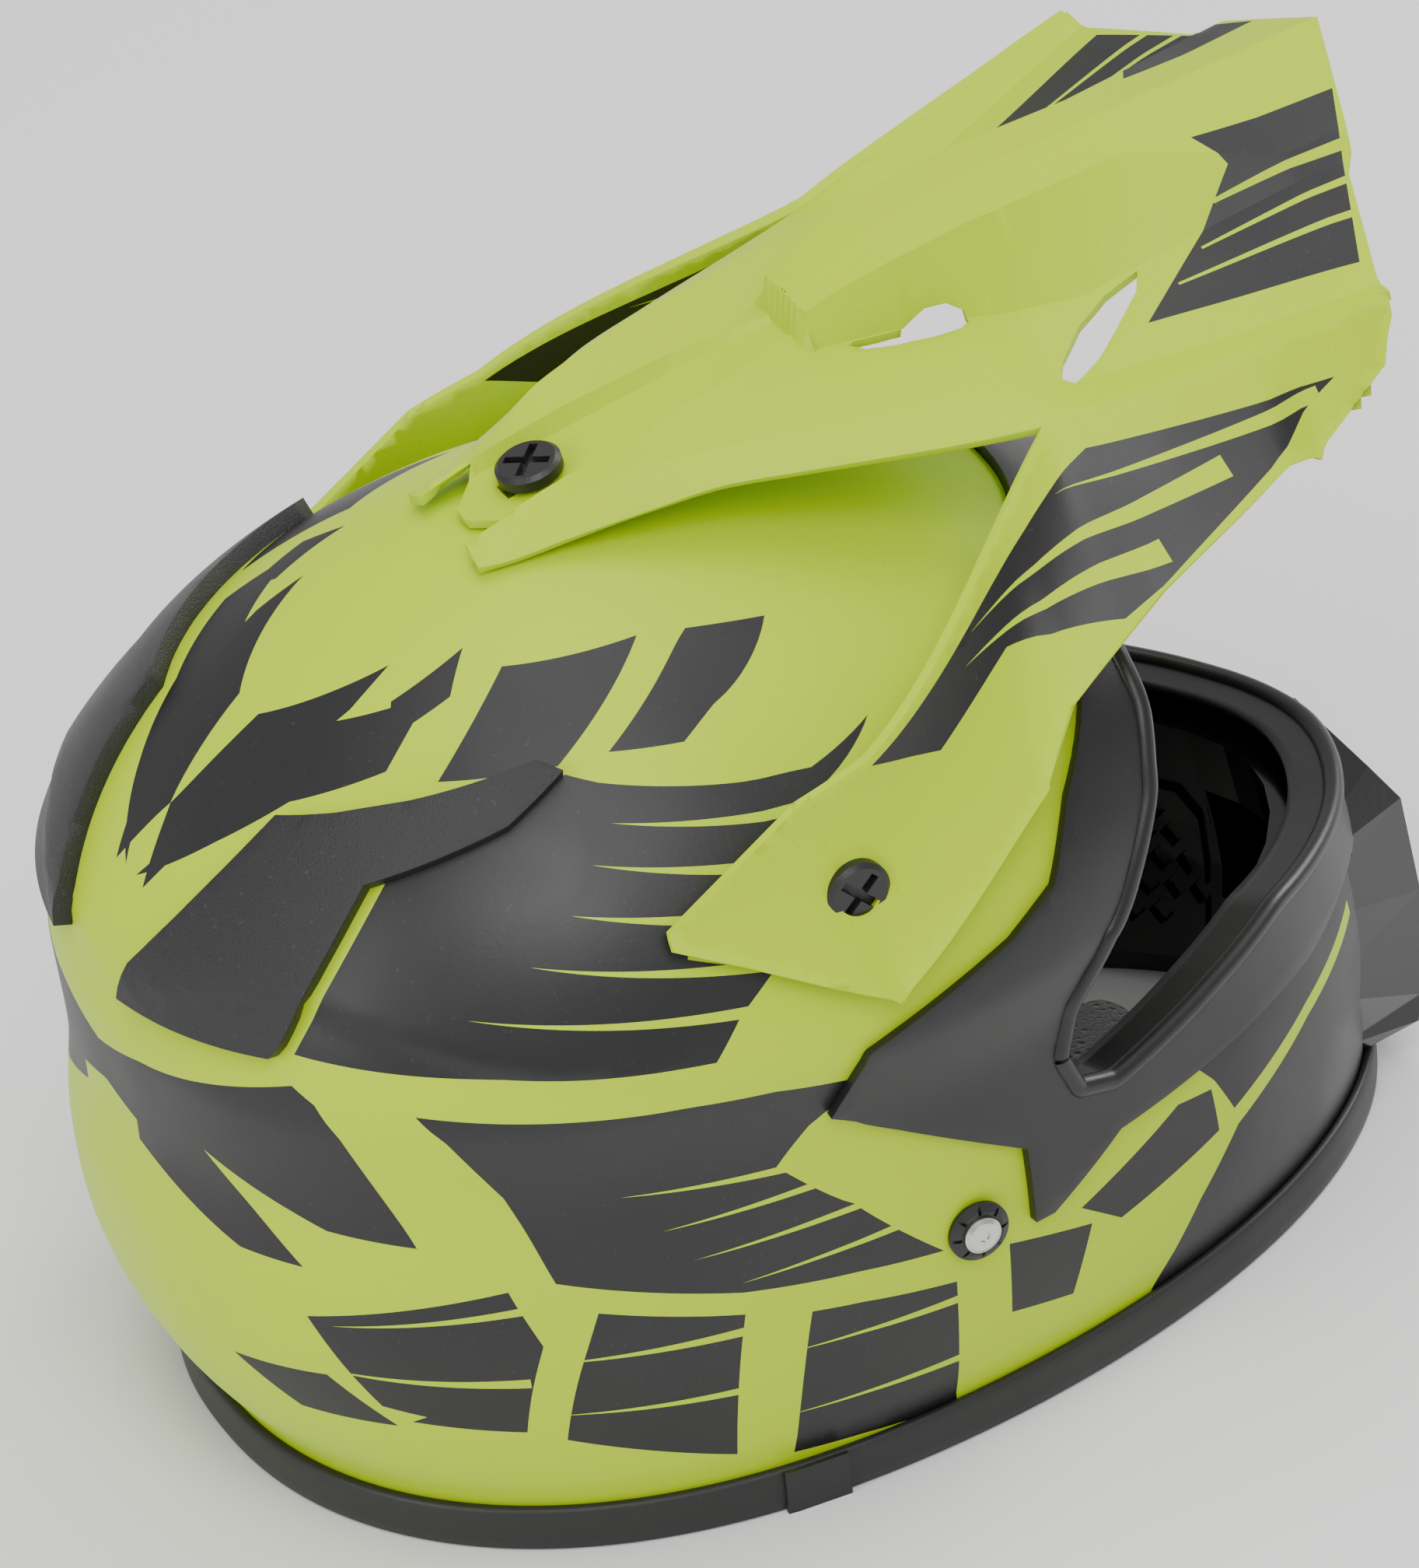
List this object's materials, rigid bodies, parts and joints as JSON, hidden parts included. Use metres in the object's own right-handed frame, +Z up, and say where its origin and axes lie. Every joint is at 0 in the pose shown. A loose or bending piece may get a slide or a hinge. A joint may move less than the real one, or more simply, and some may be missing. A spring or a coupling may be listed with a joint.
{
  "type": "off-road motorcycle helmet",
  "caption": "Off-road motorcycle helmet with a long tilting peak, wide eye port for goggles, chin bar with vents, padding and a double-ring strap.",
  "frame": {"origin": "centre of the head opening, on the plane of the bottom edge's underside", "axes": "+Z up, -Y forwards through the eye port, -X to the wearer's right"},
  "size_m": [0.2536, 0.3702, 0.31],
  "materials": {
    "shell_paint": "satin fluorescent yellow-green",
    "foam": "fine beaded foam",
    "cloth": "brushed knit",
    "pad_mesh": "open 3-D mesh knit",
    "black_trim": "satin",
    "gloss_black": "gloss",
    "vent_black": "satin with a fine grain",
    "edge_rubber": "matt",
    "screw_black": "satin",
    "brass": "turned",
    "steel": "polished",
    "webbing": "woven"
  },
  "bodies": {
    "helmet": {"outer_shell": "shell_paint", "foam_liner": "foam", "chin_bar_liner": "gloss_black", "comfort_liner": "cloth", "cheek_pad_right": "pad_mesh", "cheek_pad_left": "pad_mesh", "neck_roll": "cloth", "eye_port_moulding": "black_trim", "base_trim": "edge_rubber", "trim_joiner": "edge_rubber", "screw_inserts": "brass", "rear_vent_right": "vent_black", "rear_vent_left": "vent_black", "nose_cover": "gloss_black", "nose_mesh": "vent_black", "chin_grille_right": "gloss_black", "chin_grille_left": "gloss_black", "grille_plugs": "gloss_black", "strap_rivets": "steel", "rivet_washers": "black_trim", "strap_anchors": "steel", "strap_right": "webbing", "strap_left": "webbing", "strap_snaps": "screw_black", "cheek_pad_studs": "screw_black"},
    "peak": {"peak": "shell_paint"},
    "side_screw_right": {"side_screw_right": "screw_black"},
    "side_screw_left": {"side_screw_left": "screw_black"},
    "centre_screw": {"centre_screw": "screw_black"},
    "ring_lower": {"d_ring_lower": "steel"},
    "ring_upper": {"d_ring_upper": "steel"}
  },
  "joints": [
    {"name": "peak_tilt", "type": "hinge", "parent": "helmet", "child": "peak", "pos_m": [0, -0.01, 0.1825], "axis": [1, 0, 0], "range_deg": [-1, 4]},
    {"name": "right_screw_turn", "type": "hinge", "parent": "helmet", "child": "side_screw_right", "pos_m": [-0.117, -0.01, 0.1825], "axis": [-1, 0, 0], "continuous": true},
    {"name": "left_screw_turn", "type": "hinge", "parent": "helmet", "child": "side_screw_left", "pos_m": [0.117, -0.01, 0.1825], "axis": [1, 0, 0], "continuous": true},
    {"name": "centre_screw_turn", "type": "hinge", "parent": "helmet", "child": "centre_screw", "pos_m": [0, 0.016, 0.254], "axis": [0, 0.2079, 0.9781], "continuous": true},
    {"name": "ring_upper_swing", "type": "hinge", "parent": "helmet", "child": "ring_upper", "pos_m": [0.058, -0.034, 0.057], "axis": [0, 1, 0], "range_deg": [0, 95]},
    {"name": "ring_lower_swing", "type": "hinge", "parent": "helmet", "child": "ring_lower", "pos_m": [0.058, -0.034, 0.05], "axis": [0, 1, 0], "range_deg": [0, 95]}
  ],
  "couplings": [
    {"joint": "ring_lower_swing", "follows": "ring_upper_swing", "ratio": 1}
  ]
}
